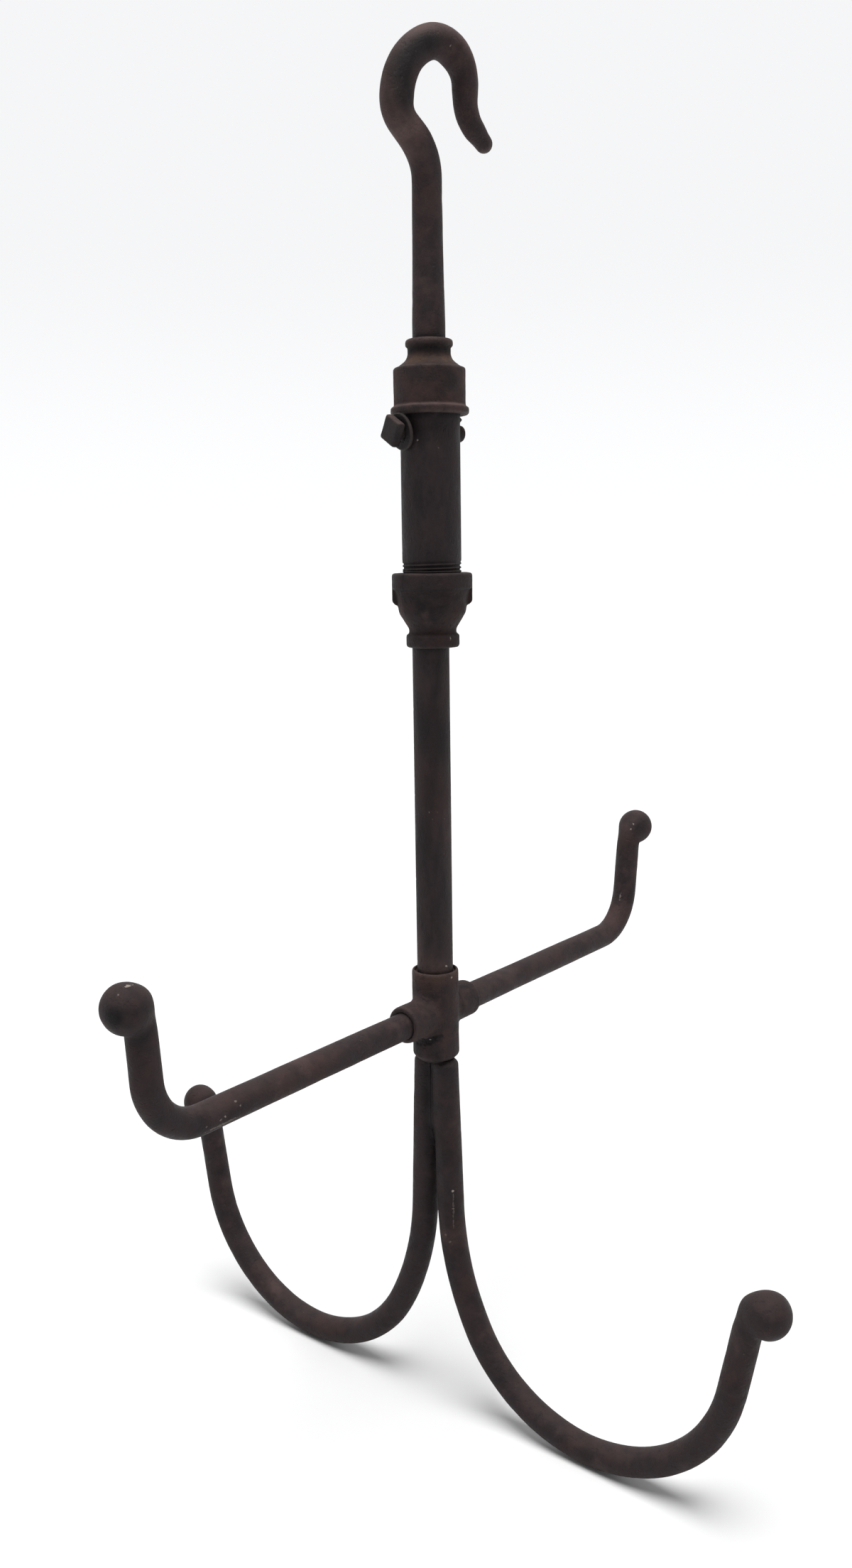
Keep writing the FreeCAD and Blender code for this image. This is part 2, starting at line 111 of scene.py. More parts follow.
# ---- relief: height, size of the lumps and seed of each layer of noise ----
FORGED_FLATS = (0.00014, 0.021, 11)
FORGED_DENTS = (0.00018, 0.0075, 12)
FORGED_SCALE = (0.00002, 0.0024, 13)
FORGED_RISE = 0.00002       # makes up for the depth of the dents
CAST_SWELLS = (0.00009, 0.009, 21)
CAST_GRAIN = (0.00004, 0.0019, 22)
CAST_FINE_GRAIN = (0.00003, 0.0011, 23)
PIPE_WAVES = (0.00005, 0.012, 31)
PIPE_WAVE_STRETCH = (1, 1, 0.3)
PIPE_PITS = (0.00009, 0.0021, 32)
PIPE_PIT_EDGE = (0.35, 0.9) # of the noise, from the rim of a pit to its floor
BOLT_WAVES = (0.00007, 0.0034, 41)

# ---- marks of wear: rounds of smoothing that give the surroundings, and the
# ---- height above or below them at which a mark is full
MARK_START = 0.15           # share of that height at which a mark begins
BAR_MARKS = (14, 0.0004)
CAST_MARKS = (14, 0.00025)
BARREL_MARKS = (6, 0.0002)
STEM_MARKS = (8, 0.0003)
PLUG_MARKS = (10, 0.0003)
BOLT_MARKS = (12, 0.0002)
WASHER_MARKS = (10, 0.0002)

# ---- casting flaw low on the near side of the cross ----
SCAR_TURN = 200.0           # degrees about Z
SCAR_RISE = 0.0140          # above the cross's lower face
SCAR_LONG = 0.0105
SCAR_WIDE = 0.0030
SCAR_SLOPE = 0.35
SCAR_DEPTH = 0.0008
SCAR_EDGE = (0.5, 1.1)      # of its size, over which it fades
SCAR_RAGGED = (0.3, 0.0016, 51)         # as the layers of relief, in shares of its size
SCAR_ROUGH = (0.5, 0.0012, 52)          # as the layers of relief, in shares of its depth
SCAR_MEAN = 0.7             # share of its depth, before its roughness is added

# ---- painted shadow: a dark band along the shank's side of the hook's crown, an arc about Y ----
CROWN_BAND_X = 0.0
CROWN_BAND_Z = -0.014
CROWN_BAND_R = 0.0230
CROWN_BAND_CORE = 0.0015    # half width of its darkest part
CROWN_BAND_HALF = 0.0080    # half width of all of it
CROWN_BAND_TURNS = (92.0, 212.0)        # degrees, from +X towards +Z
CROWN_BAND_FADE = (25.0, 15.0)          # degrees, beyond its ends and within them
CROWN_BAND_FACING = (-0.2, 0.3)         # of the normal's Y, over which it fades

# ---- dust and painted top light: shares, and the spans over which they grow or fade ----
DUST_AND_TOP_LIGHT = 0.11           # pale dust with painted top light, on faces that look up
DUST_AND_TOP_LIGHT_FACING = (0.1, 0.95)   # of the normal's Z
CROWN_INSIDE = np.array((0.009, -0.002, -0.020))        # in the crook; outside faces look away
CROWN_DUST_AND_LIGHT = (0.22, 0.42)   # pale dust and painted light on the crown's outside, and what its top has besides
CROWN_LIGHT_FACING = (0.0, 0.9)
CROWN_LIGHT_RISE = (-0.062, -0.035)
CROWN_TOP_RISE = (-0.014, 0.012)
CROWN_BAND_CLEAR = 0.9      # of the pale dust and painted light, that the painted shadow band takes away
THROAT_PATCH = np.array((-0.0187, -0.0039, -0.0324))    # a pale rub on the shank's bend
THROAT_DUST = 0.48
THROAT_REACH = (0.004, 0.015)
# Pale dust and painted top light on the bolt's upward faces.
BOLT_DUST_AND_LIGHT = 0.35
BOLT_LIGHT_FACING = (0.2, 0.9)
# Painted highlights along the top of the cap's lip bead and of its upper ring.
CAP_BEAD_RISE = 0.0046      # above the cap's lower face
CAP_BEAD_HIGHLIGHT = 0.60
CAP_BEAD_REACH = 0.0014
CAP_RING_DROP = 0.0012      # below the cap's upper face
CAP_RING_HIGHLIGHT = 0.35
CAP_RING_REACH = 0.0016

# ---- grime and painted shade: shares, and the spans over which they grow or fade ----
BASE_GRIME = {"bell_reducer": 0.34, "barrel_pipe": 0.26, "stem_pipe": 0.12,
              "lower_arm_plug": 0.35, "lower_arm_near": 0.26, "lower_arm_far": 0.26,
              "upper_arm_left": 0.14, "cross_bolt": 0.30}
CAP_NECK_RISE = 0.0345      # above the cap's lower face: painted shadow under the cap's upper ring
REDUCER_BAND_RISE = 0.0328  # above the reducer's lower face: painted shadow along its band's lower edge
ARM_MOUTH_REACH = 0.0028    # of the painted shade, from the mouth of the cross
THREAD_GRIME_AND_SHADE = 0.9          # grime and painted shade in the grooves of the bare thread
THREAD_DARK_START = (0.0004, 0.0018)   # above the reducer
THREAD_DARK_END = 1.2      # of the bare thread's height
THREAD_DARK_DEPTH = 0.2    # of the thread's depth, where it begins
WASHER_R = 0.0102
WASHER_DARKENING = 0.7
WASHER_RIM = (0.86, 0.96)   # of its radius, over which the darkening ends
CREASE_SHADE = 0.85         # painted shade between the two lower bars
CREASE_REACH = {"lower_arm_near": 0.0045, "lower_arm_far": 0.0100}
KNOB_SHADE = 0.6            # painted shade under each knob; its spans are in radii of the knob
KNOB_SHADE_DROP = (0.3, 0.9)
KNOB_SHADE_REACH = (1.1, 1.7)
KNOB_SHADE_SPOT = (-0.94, -0.35, 0.01)       # painted shade on one side of the left knob: its direction from the knob's centre
KNOB_SHADE_SPOT_REACH = (0.002, 0.008)

# ---- iron ----
RUBBED = (0.078, 0.064, 0.061)
# Dark colour of stains, grime and painted shade.
GRIME_AND_SHADE = (0.0050, 0.0050, 0.0060)
# Pale colour of dust, also of the painted light on up-facing faces, the crown and the bolt, and of
# the cap's painted highlights.
DUST_AND_LIGHT = (0.130, 0.085, 0.077)
# Pale colour of flecks and chips, also used for painted highlights.
FLECK_AND_HIGHLIGHT = (0.34, 0.29, 0.25)
# Each noise: lumps to the metre, detail and roughness.
BROAD = (24.0, 3.0, 0.6)
PATCHES = (110.0, 4.0, 0.65)
SPECKLE = (620.0, 3.0, 0.7)
STAINS = (52.0, 3.0, 0.55)
PALE_PATCHES = (37.0, 3.0, 0.6)
CLUSTERS = (21.0, 2.0, 0.6)
PITS = (300.0, 3.0, 0.6)
CHIP_NOISE = (700.0, 2.0, 0.6)
GRAIN_DETAIL = (4.0, 0.7)   # after a grain of each material's own
# Each span: the values of a noise at which a colour, or a pit, begins and is full.
BROWN_SPAN = (0.36, 0.66)
RUST_SPAN = (0.42, 0.72)
STAIN_SPAN = (0.50, 0.68)
PALE_SPAN = (0.54, 0.72)
CLUSTER_SPAN = (0.58, 0.68)
FLECK_SPAN = (0.70, 0.76)
ROUGH_SPAN = (0.3, 0.7)
PIT_SPAN = (0.56, 0.72)
# Each mottle: a span, and the shares of a colour that it leaves at its two ends.
RUST_MOTTLE = (0.3, 0.62, 0.35, 1.0)
BAND_MOTTLE = (0.3, 0.6, 0.35, 1.0)
RUB_MOTTLE = (0.35, 0.6, 0.25, 1.0)
GRIME_AND_SHADE_MOTTLE = (0.25, 0.55, 0.7, 1.0)
DUST_AND_LIGHT_MOTTLE = (0.3, 0.6, 0.55, 1.0)
# A chip, and each painted highlight drawn the same way, in its half sizes: a span and what it adds
# to the distance from its centre, and the distances between which it fades.
CHIP_RAGGED = (0.35, 0.65, -0.45, 0.45)
CHIP_EDGE = (0.55, 0.95)
# Shares of each colour over the ones below it.
SHELTERED_RUST = 0.30
BAND_SHARE = 0.8
STAIN_SHARE = 0.40
GRIME_AND_SHADE_SHARE = 0.85
PALE_SHARE = 0.22
WORN_GLOSS = -0.1           # added to the roughness of rubbed edges
PIT_DEPTH = -0.6            # added to the grain's noise in a pit
GRAIN_GAIN = 4              # height of the grain's noise, in depths of the grain
CHIP_DEEP = 0.0012          # half size of a chip into the surface
# Warm bands: from, to and colour.
RIM_BAND = (-0.008, 0.004, (0.062, 0.036, 0.029))       # above the cross's upper face
FLARE_BAND = (0.0235, 0.0335, (0.088, 0.050, 0.034))    # above the cap's lower face
# Sockets of the colour mixing node.
MIX_SHARE, MIX_A, MIX_B, MIX_RESULT = 0, 6, 7, 2

# ---- camera, light and floor ----
CAMERA_PLACE = Vector((-0.60280, -0.46798, -0.25241))
CAMERA_TURN = (79.907, 0.814, -51.936)      # degrees
CAMERA_LENS = 30.54
CAMERA_SENSOR = 36.0
CAMERA_CLIP = (0.01, 100.0)
FLOOR_GAP = 0.0002
FLOOR_SIDE = 60.0
WORLD_COLOUR = (0.985, 0.99, 1.0)
WALL_LIGHT = 0.93           # light from behind and beside the part
ROOM_LIGHT = 0.06           # light from behind the camera
FOOT_SHARE = 1.10           # of both, where the wall meets the floor
UPPER_SHARE = 0.40          # of both, high overhead
WALL_SPAN = (-0.2, 0.7)     # of the direction towards the camera, from wall to room
FOOT_SPAN = (0.0, 0.22)     # of the height, from the wall's foot up
UPPER_SPAN = (0.45, 0.85)   # of the height, from the wall to high overhead
SUN_STRENGTH = 3.6
SUN_SPREAD = 36.0           # degrees
SUN_TURN = 215.0            # degrees about Z
SUN_RISE = 79.0             # degrees above the floor
FLOOR_COLOUR = (0.76, 0.76, 0.76)
FLOOR_ROUGHNESS = 0.9
FLOOR_SHINE = 0.1


# ---------------------------------------------------------------- mesh tools

def welded(node):
    """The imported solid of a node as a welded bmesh."""
    bm = bmesh.new()
    bm.from_mesh(frame["nodes"][node].data)
    bmesh.ops.remove_doubles(bm, verts=bm.verts, dist=WELD)
    return bm


def skinned(bm, voxel):
    """A new mesh of even quads around everything in bm, which is freed."""
    source_mesh = bpy.data.meshes.new("source")
    bm.to_mesh(source_mesh)
    bm.free()
    source = bpy.data.objects.new("source", source_mesh)
    bpy.context.scene.collection.objects.link(source)
    skin = source.modifiers.new("skin", "REMESH")
    skin.mode = "VOXEL"
    skin.voxel_size = voxel
    skin.adaptivity = 0.0
    depsgraph = bpy.context.evaluated_depsgraph_get()
    mesh = bpy.data.meshes.new_from_object(source.evaluated_get(depsgraph))
    bpy.data.objects.remove(source)
    bpy.data.meshes.remove(source_mesh)
    return mesh


def places(mesh):
    co = np.empty(len(mesh.vertices) * 3)
    mesh.vertices.foreach_get("co", co)
    return co.reshape(-1, 3)


def normals(mesh):
    out = np.empty(len(mesh.vertices) * 3)
    mesh.vertices.foreach_get("normal", out)
    return out.reshape(-1, 3)


def set_places(mesh, co):
    mesh.vertices.foreach_set("co", co.ravel())
    mesh.update()


def edge_ends(mesh):
    ends = np.empty(len(mesh.edges) * 2, int)
    mesh.edges.foreach_get("vertices", ends)
    return ends.reshape(-1, 2).T


def relaxed(co, ends, rounds, factors=(TAUBIN_IN, TAUBIN_OUT), weight=1.0):
    """Each point moves towards its neighbours' mean, by each factor in turn."""
    a, b = ends
    count = len(co)
    degree = np.bincount(a, minlength=count) + np.bincount(b, minlength=count)
    degree = np.maximum(degree, 1)
    share = np.broadcast_to(np.asarray(weight, float), (count,))
    for _ in range(rounds):
        for factor in factors:
            mean = np.stack([
                (np.bincount(a, co[b, k], count) + np.bincount(b, co[a, k], count)) / degree
                for k in range(3)], axis=1)
            co = co + factor * share[:, None] * (mean - co)
    return co


def lumps(points, size, seed):
    """Smooth noise from -1 to 1 at each point, with lumps of about that size."""
    side = 24               # of the table, after which the noise repeats
    table = np.random.default_rng(seed).uniform(-1, 1, (side, side, side))
    scaled = points / size
    low = np.floor(scaled).astype(int)
    t = scaled - low
    t = t * t * (3 - 2 * t)
    total = np.zeros(len(points))
    for corner in itertools.product((0, 1), repeat=3):
        index = (low + np.array(corner)) % side
        share = np.prod(np.where(corner, t, 1 - t), axis=1)
        total += share * table[index[:, 0], index[:, 1], index[:, 2]]
    return total


def smoothstep(x, low, high):
    t = np.clip((x - low) / (high - low), 0, 1)
    return t * t * (3 - 2 * t)


def raise_surface(mesh, height):
    """Moves each vertex out along its normal by its height, inside the part's box."""
    co = places(mesh) + normals(mesh) * height[:, None]
    set_places(mesh, np.clip(co, np.array(cad_low), np.array(cad_high)))


def store(mesh, name, value):
    attribute = mesh.attributes.new(name, "FLOAT", "POINT")
    attribute.data.foreach_set("value", value.astype(np.float32))


def mark_edges(mesh, rounds, reach):
    """Stores how far each vertex stands above or below its surroundings."""
    co = places(mesh)
    ends = edge_ends(mesh)
    flat = relaxed(co, ends, rounds, factors=(TAUBIN_IN,))
    height = np.einsum("ij,ij->i", co - flat, normals(mesh))
    height = height - np.median(height)
    for name, sign in (("worn", 1), ("sheltered", -1)):
        store(mesh, name, smoothstep(sign * height, MARK_START * reach, reach))


# ---------------------------------------------------------------- relief

def layer(points, height, size, seed):
    return height * lumps(points, size, seed)


def forged_relief(points):
    """Height of hammered and scaled iron: broad flats, dents and scale."""
    depth, size, seed = FORGED_DENTS
    dents = np.clip(lumps(points, size, seed), 0, 1) ** 2
    return (layer(points, *FORGED_FLATS) - depth * dents
            + layer(points, *FORGED_SCALE) + FORGED_RISE)


def cast_relief(points):
    """Height of sand-cast iron: low swells and grain."""
    return (layer(points, *CAST_SWELLS) + layer(points, *CAST_GRAIN)
            + layer(points, *CAST_FINE_GRAIN))


def cross_relief(points):
    """Cast surface with one rough flaw."""
    scar = scar_on_cross(points)
    return cast_relief(points) - SCAR_DEPTH * scar * (SCAR_MEAN + layer(points, *SCAR_ROUGH))


def pipe_relief(points):
    """Height of drawn pipe: long shallow waves, with scattered rust pits."""
    stretched = points * np.array(PIPE_WAVE_STRETCH)
    depth, size, seed = PIPE_PITS
    pits = smoothstep(lumps(points, size, seed), *PIPE_PIT_EDGE)
    return layer(stretched, *PIPE_WAVES) - depth * pits


def bolt_relief(points):
    """Height of a hot-headed bolt: soft unevenness."""
    return layer(points, *BOLT_WAVES)


# ---------------------------------------------------------------- dust and grime, with painted light and shade

def near_level(z, level, reach):
    """From 1 at the level down to 0 at that reach to either side of it."""
    return 1 - smoothstep(np.abs(z - level), 0.0, reach)


def scar_on_cross(points):
    """Share of each point in the rough casting flaw low on the cross's near side."""
    low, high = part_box("cross_fitting")
    middle = np.array((low + high) / 2)
    turn = math.radians(SCAR_TURN)
    radius = (high.y - low.y) / 2
    centre = middle + radius * np.array((math.cos(turn), math.sin(turn), 0))
    centre[2] = low.z + SCAR_RISE
    level = np.array((-math.sin(turn), math.cos(turn), 0))
    along = np.array((-math.sin(turn), math.cos(turn), SCAR_SLOPE))
    offset = points - centre
    across = offset[:, 2] - SCAR_SLOPE * (offset @ level)
    away = np.hypot(offset @ along / SCAR_LONG, across / SCAR_WIDE)
    away = away + layer(points, *SCAR_RAGGED)
    return (1 - smoothstep(away, *SCAR_EDGE)) * (np.linalg.norm(offset, axis=1) < radius)


def crown_band(points):
    """Share of each point in the painted shadow band along the shank's side of the hook's crown."""
    x, z = points[:, 0] - CROWN_BAND_X, points[:, 2] - CROWN_BAND_Z
    turn = np.degrees(np.arctan2(z, x)) % 360
    first, last = CROWN_BAND_TURNS
    beyond, within = CROWN_BAND_FADE
    from_arc = np.abs(np.hypot(x, z) - CROWN_BAND_R)
    return ((1 - smoothstep(from_arc, CROWN_BAND_CORE, CROWN_BAND_HALF))
            * smoothstep(turn, first - beyond, first + within)
            * (1 - smoothstep(turn, last - within, last + beyond)))


def dust_and_light_on(node, points, outward):
    """How pale each point is, from 0 to 1: dust with painted top light on faces that look up and on
    the bolt, painted light outside the crown, a pale rub on the shank's bend, painted highlights on
    the cap's edges.
    """
    height = points[:, 2]
    # Pale dust with painted top light on faces that look up.
    dust_and_light = DUST_AND_TOP_LIGHT * smoothstep(outward[:, 2], *DUST_AND_TOP_LIGHT_FACING)
    if node == "top_hook":
        # Pale dust and painted light on the crown's outside, stronger on its top.
        radial = points - CROWN_INSIDE
        radial /= np.linalg.norm(radial, axis=1)[:, None]
        outside = smoothstep(np.einsum("ij,ij->i", outward, radial), *CROWN_LIGHT_FACING)
        on_crown = smoothstep(height, *CROWN_LIGHT_RISE)
        from_throat = np.linalg.norm(points - THROAT_PATCH, axis=1)
        share = CROWN_DUST_AND_LIGHT[0] + CROWN_DUST_AND_LIGHT[1] * smoothstep(height, *CROWN_TOP_RISE)
        dust_and_light = np.maximum(dust_and_light + share * outside * on_crown,
                          THROAT_DUST * (1 - smoothstep(from_throat, *THROAT_REACH)))
        # The painted shadow band clears the pale dust and painted light.
        dust_and_light = dust_and_light * (1 - CROWN_BAND_CLEAR * crown_band(points))
    if node == "cross_bolt":
        # Pale dust and painted top light on the bolt's upward faces.
        dust_and_light = dust_and_light + BOLT_DUST_AND_LIGHT * smoothstep(outward[:, 2], *BOLT_LIGHT_FACING)
    if node == "swivel_cap":
        low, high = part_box(node)
        # Painted highlights on the cap's lip bead and upper ring.
        dust_and_light = dust_and_light + CAP_BEAD_HIGHLIGHT * near_level(height, low.z + CAP_BEAD_RISE, CAP_BEAD_REACH)
        dust_and_light = dust_and_light + CAP_RING_HIGHLIGHT * near_level(height, high.z - CAP_RING_DROP, CAP_RING_REACH)
    return dust_and_light


def grime_and_shade_on(node, points, outward):
    """How dark each point is, from 0 to 1: grime over whole pieces, painted shade along joints, at
    the cross's mouths, in the thread's grooves, between the lower bars and under and beside the
    knobs, a painted shadow band in the crown, the washer's face darkened inside its rim, and the
    cross's casting flaw.
    """
    cap_low, cap_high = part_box("swivel_cap")
    reducer_low, reducer_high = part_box("bell_reducer")
    cross_low, cross_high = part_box("cross_fitting")
    # Painted contact shade, with some dirt, in bands where pieces meet: on the barrel under the
    # cap's lip and above the reducer, on the stem under the reducer and at the cross, on the hook
    # at the cap's top, under the cap's ring, along the reducer's band and on the lower bars under
    # the cross.
    seams = {               # level, reach and share of each
        "barrel_pipe": ((cap_low.z, 0.0050, 1.0), (reducer_high.z, 0.0012, 0.4)),
        "stem_pipe": ((reducer_low.z, 0.0036, 0.9), (cross_high.z, 0.0014, 0.4)),
        "top_hook": ((cap_high.z, 0.0040, 0.8),),
        "swivel_cap": ((cap_low.z + CAP_NECK_RISE, 0.0042, 0.9),),
        "bell_reducer": ((reducer_low.z + REDUCER_BAND_RISE, 0.0020, 0.9),),
        "lower_arm_near": ((cross_low.z, 0.0012, 0.5),),
        "lower_arm_far": ((cross_low.z, 0.0012, 0.5),),
    }
    grime_and_shade = np.full(len(points), BASE_GRIME.get(node, 0.0))
    for level, reach, share in seams.get(node, ()):
        grime_and_shade = np.maximum(grime_and_shade, share * near_level(points[:, 2], level, reach))
    if node in ("upper_arm_left", "upper_arm_right"):
        # Painted shade on the upper arms at the cross's mouths.
        mouth = (cross_high.x - cross_low.x) / 2
        from_axis = np.abs(points[:, 0] - (cross_high.x + cross_low.x) / 2)
        grime_and_shade = np.maximum(grime_and_shade, near_level(from_axis, mouth, ARM_MOUTH_REACH))
    if node == "top_hook":
        # Painted shadow band on the crown's faces that are turned towards -Y.
        near_side = 1 - smoothstep(outward[:, 1], *CROWN_BAND_FACING)
        grime_and_shade = np.maximum(grime_and_shade, crown_band(points) * near_side)
    if node == "barrel_pipe":
        # Grime and painted shade in the grooves of the bare thread.
        low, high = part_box(node)
        inset = (high.y - low.y) / 2 - np.hypot(points[:, 0], points[:, 1])
        rise = points[:, 2] - reducer_high.z
        ending = smoothstep(rise, THREAD_BARE, THREAD_DARK_END * THREAD_BARE)
        bare = smoothstep(rise, *THREAD_DARK_START) * (1 - ending)
        in_groove = smoothstep(inset, THREAD_DARK_DEPTH * THREAD_DEPTH, THREAD_DEPTH)
        grime_and_shade = np.maximum(grime_and_shade, THREAD_GRIME_AND_SHADE * bare * in_groove)
    if node == "bolt_washer":
        # Darkens the washer's face inside its rim.
        low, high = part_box(node)
        from_middle = np.linalg.norm(points - np.array((low + high) / 2), axis=1)
        clean_from, clean_to = (share * WASHER_R for share in WASHER_RIM)
        grime_and_shade = WASHER_DARKENING * (1 - smoothstep(from_middle, clean_from, clean_to))
    if node in CREASE_REACH:
        # Painted shade in the crease between the two lower bars.
        middle = (cross_low.y + cross_high.y) / 2
        crease = near_level(points[:, 1], middle, CREASE_REACH[node])
        grime_and_shade = np.maximum(grime_and_shade, CREASE_SHADE * crease)
    if node in KNOB_R:
        # Painted shade under each knob.
        ball = np.array(knob_centre(node, KNOB_R[node]))
        from_ball = np.linalg.norm(points - ball, axis=1) / KNOB_R[node]
        under_from, under_to = (share * KNOB_R[node] for share in KNOB_SHADE_DROP)
        under = smoothstep(ball[2] - points[:, 2], under_from, under_to)
        close = 1 - smoothstep(from_ball, *KNOB_SHADE_REACH)
        grime_and_shade = np.maximum(grime_and_shade, KNOB_SHADE * under * close)
    if node == "upper_arm_left":
        # Painted shade on one side of the left knob.
        from_shade_spot = np.linalg.norm(points - np.array(on_knob(node, KNOB_SHADE_SPOT)), axis=1)
        grime_and_shade = np.maximum(grime_and_shade, 1 - smoothstep(from_shade_spot, *KNOB_SHADE_SPOT_REACH))
    if node == "cross_fitting":
        grime_and_shade = scar_on_cross(points)
    return grime_and_shade


# ---------------------------------------------------------------- shapes

def knob_centre(node, radius):
    """Centre of the ball at an arm's end: it touches the arm's outer side and its own top."""
    low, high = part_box(node)
    axis = 0 if high.x - low.x > high.y - low.y else 1
    outer = high if abs(high[axis]) > abs(low[axis]) else low
    centre = (low + high) / 2
    centre[axis] = outer[axis] - math.copysign(radius, outer[axis])
    tops = [v.co.z for v in frame["nodes"][node].data.vertices
            if abs(v.co[axis] - outer[axis]) < 2 * radius]
    centre.z = max(tops) - radius
    return centre


def arm_mesh(node, radius):
    """Skin of an arm, with the bar's end and its ball drawn into one knob."""
    bm = welded(node)
    centre = knob_centre(node, radius)
    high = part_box(node)[1]
    if node.startswith("lower"):
        for v in bm.verts:
            if v.co.z > high.z - BAR_VOXEL / 4:
                v.co.z += LOWER_BAR_LIFT
    crown = [v.co.copy() for v in bm.verts if v.co.z > centre.z - KNOB_JOIN * radius
             and (v.co - centre).length < KNOB_REACH * radius]
    hull = [bm.verts.new(co) for co in crown]
    made = bmesh.ops.convex_hull(bm, input=hull)
    spare = [v for v in made["geom_interior"] + made["geom_unused"]
             if isinstance(v, bmesh.types.BMVert)]
    bmesh.ops.delete(bm, geom=list(set(spare)), context="VERTS")
    mesh = skinned(bm, BAR_VOXEL)
    co = places(mesh)
    ends = edge_ends(mesh)
    co = relaxed(co, ends, ARM_ROUNDS)

    def over(distance, span):
        return smoothstep(distance, span[0] * radius, span[1] * radius)

    near = 1 - over(np.linalg.norm(co - np.array(centre), axis=1), KNOB_NEAR)
    above = over(co[:, 2] - centre.z, KNOB_ABOVE)
    axis = 0 if abs(centre.x) > abs(centre.y) else 1
    inward = (centre[axis] - co[:, axis]) * math.copysign(1, centre[axis])
    joint = near * above * over(inward, KNOB_INWARD)
    co = relaxed(co, ends, KNOB_ROUNDS, factors=(TAUBIN_IN,), weight=joint)
    co = relaxed(co, ends, KNOB_LAST_ROUNDS, factors=(TAUBIN_IN,), weight=near)
    set_places(mesh, co)
    return mesh


def skin_mesh(node, voxel):
    """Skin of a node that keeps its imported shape, with its edges softened."""
    mesh = skinned(welded(node), voxel)
    rounds, plain_rounds = SKIN_ROUNDS[node]
    ends = edge_ends(mesh)
    co = relaxed(places(mesh), ends, rounds)
    set_places(mesh, relaxed(co, ends, plain_rounds, factors=(TAUBIN_IN,)))
    return mesh


def barrel_mesh(node):
    """Pipe with a helical thread, as rows of points up the outside and down the bore."""
    low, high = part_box(node)
    reducer_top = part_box("bell_reducer")[1].z
    radius = high.x
    thread_top = reducer_top + THREAD_BARE
    thread_rows = round((thread_top - low.z) / BARREL_ROW)
    plain_rows = round((high.z - thread_top) / BARREL_PLAIN_ROW)
    levels = np.concatenate([
        np.linspace(low.z, thread_top, thread_rows, endpoint=False),
        np.linspace(thread_top, high.z, plain_rows + 1)])
    around = np.linspace(0, 2 * math.pi, BARREL_SEGMENTS, endpoint=False)
    z, angle = np.meshgrid(levels, around, indexing="ij")
    turn = ((z - low.z) / THREAD_PITCH - angle / (2 * math.pi)) % 1.0
    groove = 0.5 + 0.5 * np.cos(2 * math.pi * turn)
    fade = 1 - smoothstep(z, thread_top - THREAD_FADE - THREAD_PITCH, thread_top)
    fade = fade * smoothstep(np.abs(z - reducer_top - THREAD_MOUTH), 0.0, THREAD_MOUTH)
    outer = radius - THREAD_DEPTH * fade * groove ** THREAD_POWER
    bolt_low, bolt_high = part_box("cross_bolt")
    burr_z = (bolt_low.z + bolt_high.z) / 2 + BURR_RISE
    turned = (np.degrees(angle) - BURR_TURN + 180.0) % 360.0 - 180.0
    away = np.hypot(np.radians(turned) * radius, z - burr_z)
    outer = outer + BURR_HEIGHT * (1 - smoothstep(away, 0.0, BURR_REACH))
    bore = np.full_like(outer, radius - BARREL_WALL)
    rings_r = np.concatenate([outer, bore[::-1]])
    rings_z = np.concatenate([z, z[::-1]])
    rings_a = np.concatenate([angle, angle])
    points = np.stack([rings_r * np.cos(rings_a), rings_r * np.sin(rings_a), rings_z], axis=-1)
    rows, columns = rings_r.shape
    faces = []
    for i in range(rows):
        here = i * columns
        above = ((i + 1) % rows) * columns
        for j in range(columns):
            k = (j + 1) % columns
            faces.append((here + j, here + k, above + k, above + j))
    mesh = bpy.data.meshes.new(node)
    mesh.from_pydata(points.reshape(-1, 3).tolist(), [], faces)
    mesh.update()
    return mesh


# ---------------------------------------------------------------- materials

def add(tree, kind, inputs=None, **settings):
    """A shader node; each input is a value or the socket that feeds it."""
    made = tree.nodes.new(kind)
    for key, value in settings.items():
        setattr(made, key, value)
    for key, value in (inputs or {}).items():
        if isinstance(value, bpy.types.NodeSocket):
            tree.links.new(value, made.inputs[key])
        else:
            made.inputs[key].default_value = value
    return made


def rgba(colour):
    return (*colour, 1.0)


def noise_of(tree, coords, scale, detail, rough):
    made = add(tree, "ShaderNodeTexNoise",
               {"Vector": coords, "Scale": scale, "Detail": detail, "Roughness": rough})
    return made.outputs[0]


def between(tree, value, low, high, to_low=0.0, to_high=1.0):
    made = add(tree, "ShaderNodeMapRange",
               {"Value": value, "From Min": low, "From Max": high,
                "To Min": to_low, "To Max": to_high}, interpolation_type="SMOOTHSTEP")
    return made.outputs[0]


def times(tree, a, b):
    return add(tree, "ShaderNodeMath", {0: a, 1: b}, operation="MULTIPLY").outputs[0]


def plus(tree, a, b):
    return add(tree, "ShaderNodeMath", {0: a, 1: b}, operation="ADD").outputs[0]


def blend_colour(tree, share, a, b):
    made = add(tree, "ShaderNodeMix", {MIX_SHARE: share, MIX_A: a, MIX_B: b}, data_type="RGBA")
    return made.outputs[MIX_RESULT]


def stored(tree, name):
    return add(tree, "ShaderNodeAttribute", attribute_name=name).outputs["Fac"]


def pale_mark_share(tree, place, centre, half, strength=1.0):
    """Share of a pale mark, drawn the same for chips and painted highlights: a ragged oval of those
    half sizes around its centre.
    """
    offset = add(tree, "ShaderNodeVectorMath", {0: place, 1: centre}, operation="SUBTRACT")
    scaled = add(tree, "ShaderNodeVectorMath", {0: offset.outputs[0], 1: half},
                 operation="DIVIDE")
    away = add(tree, "ShaderNodeVectorMath", {0: scaled.outputs[0]}, operation="LENGTH")
    ragged = between(tree, noise_of(tree, place, *CHIP_NOISE), *CHIP_RAGGED)
    return between(tree, plus(tree, away.outputs["Value"], ragged), *CHIP_EDGE, strength, 0.0)


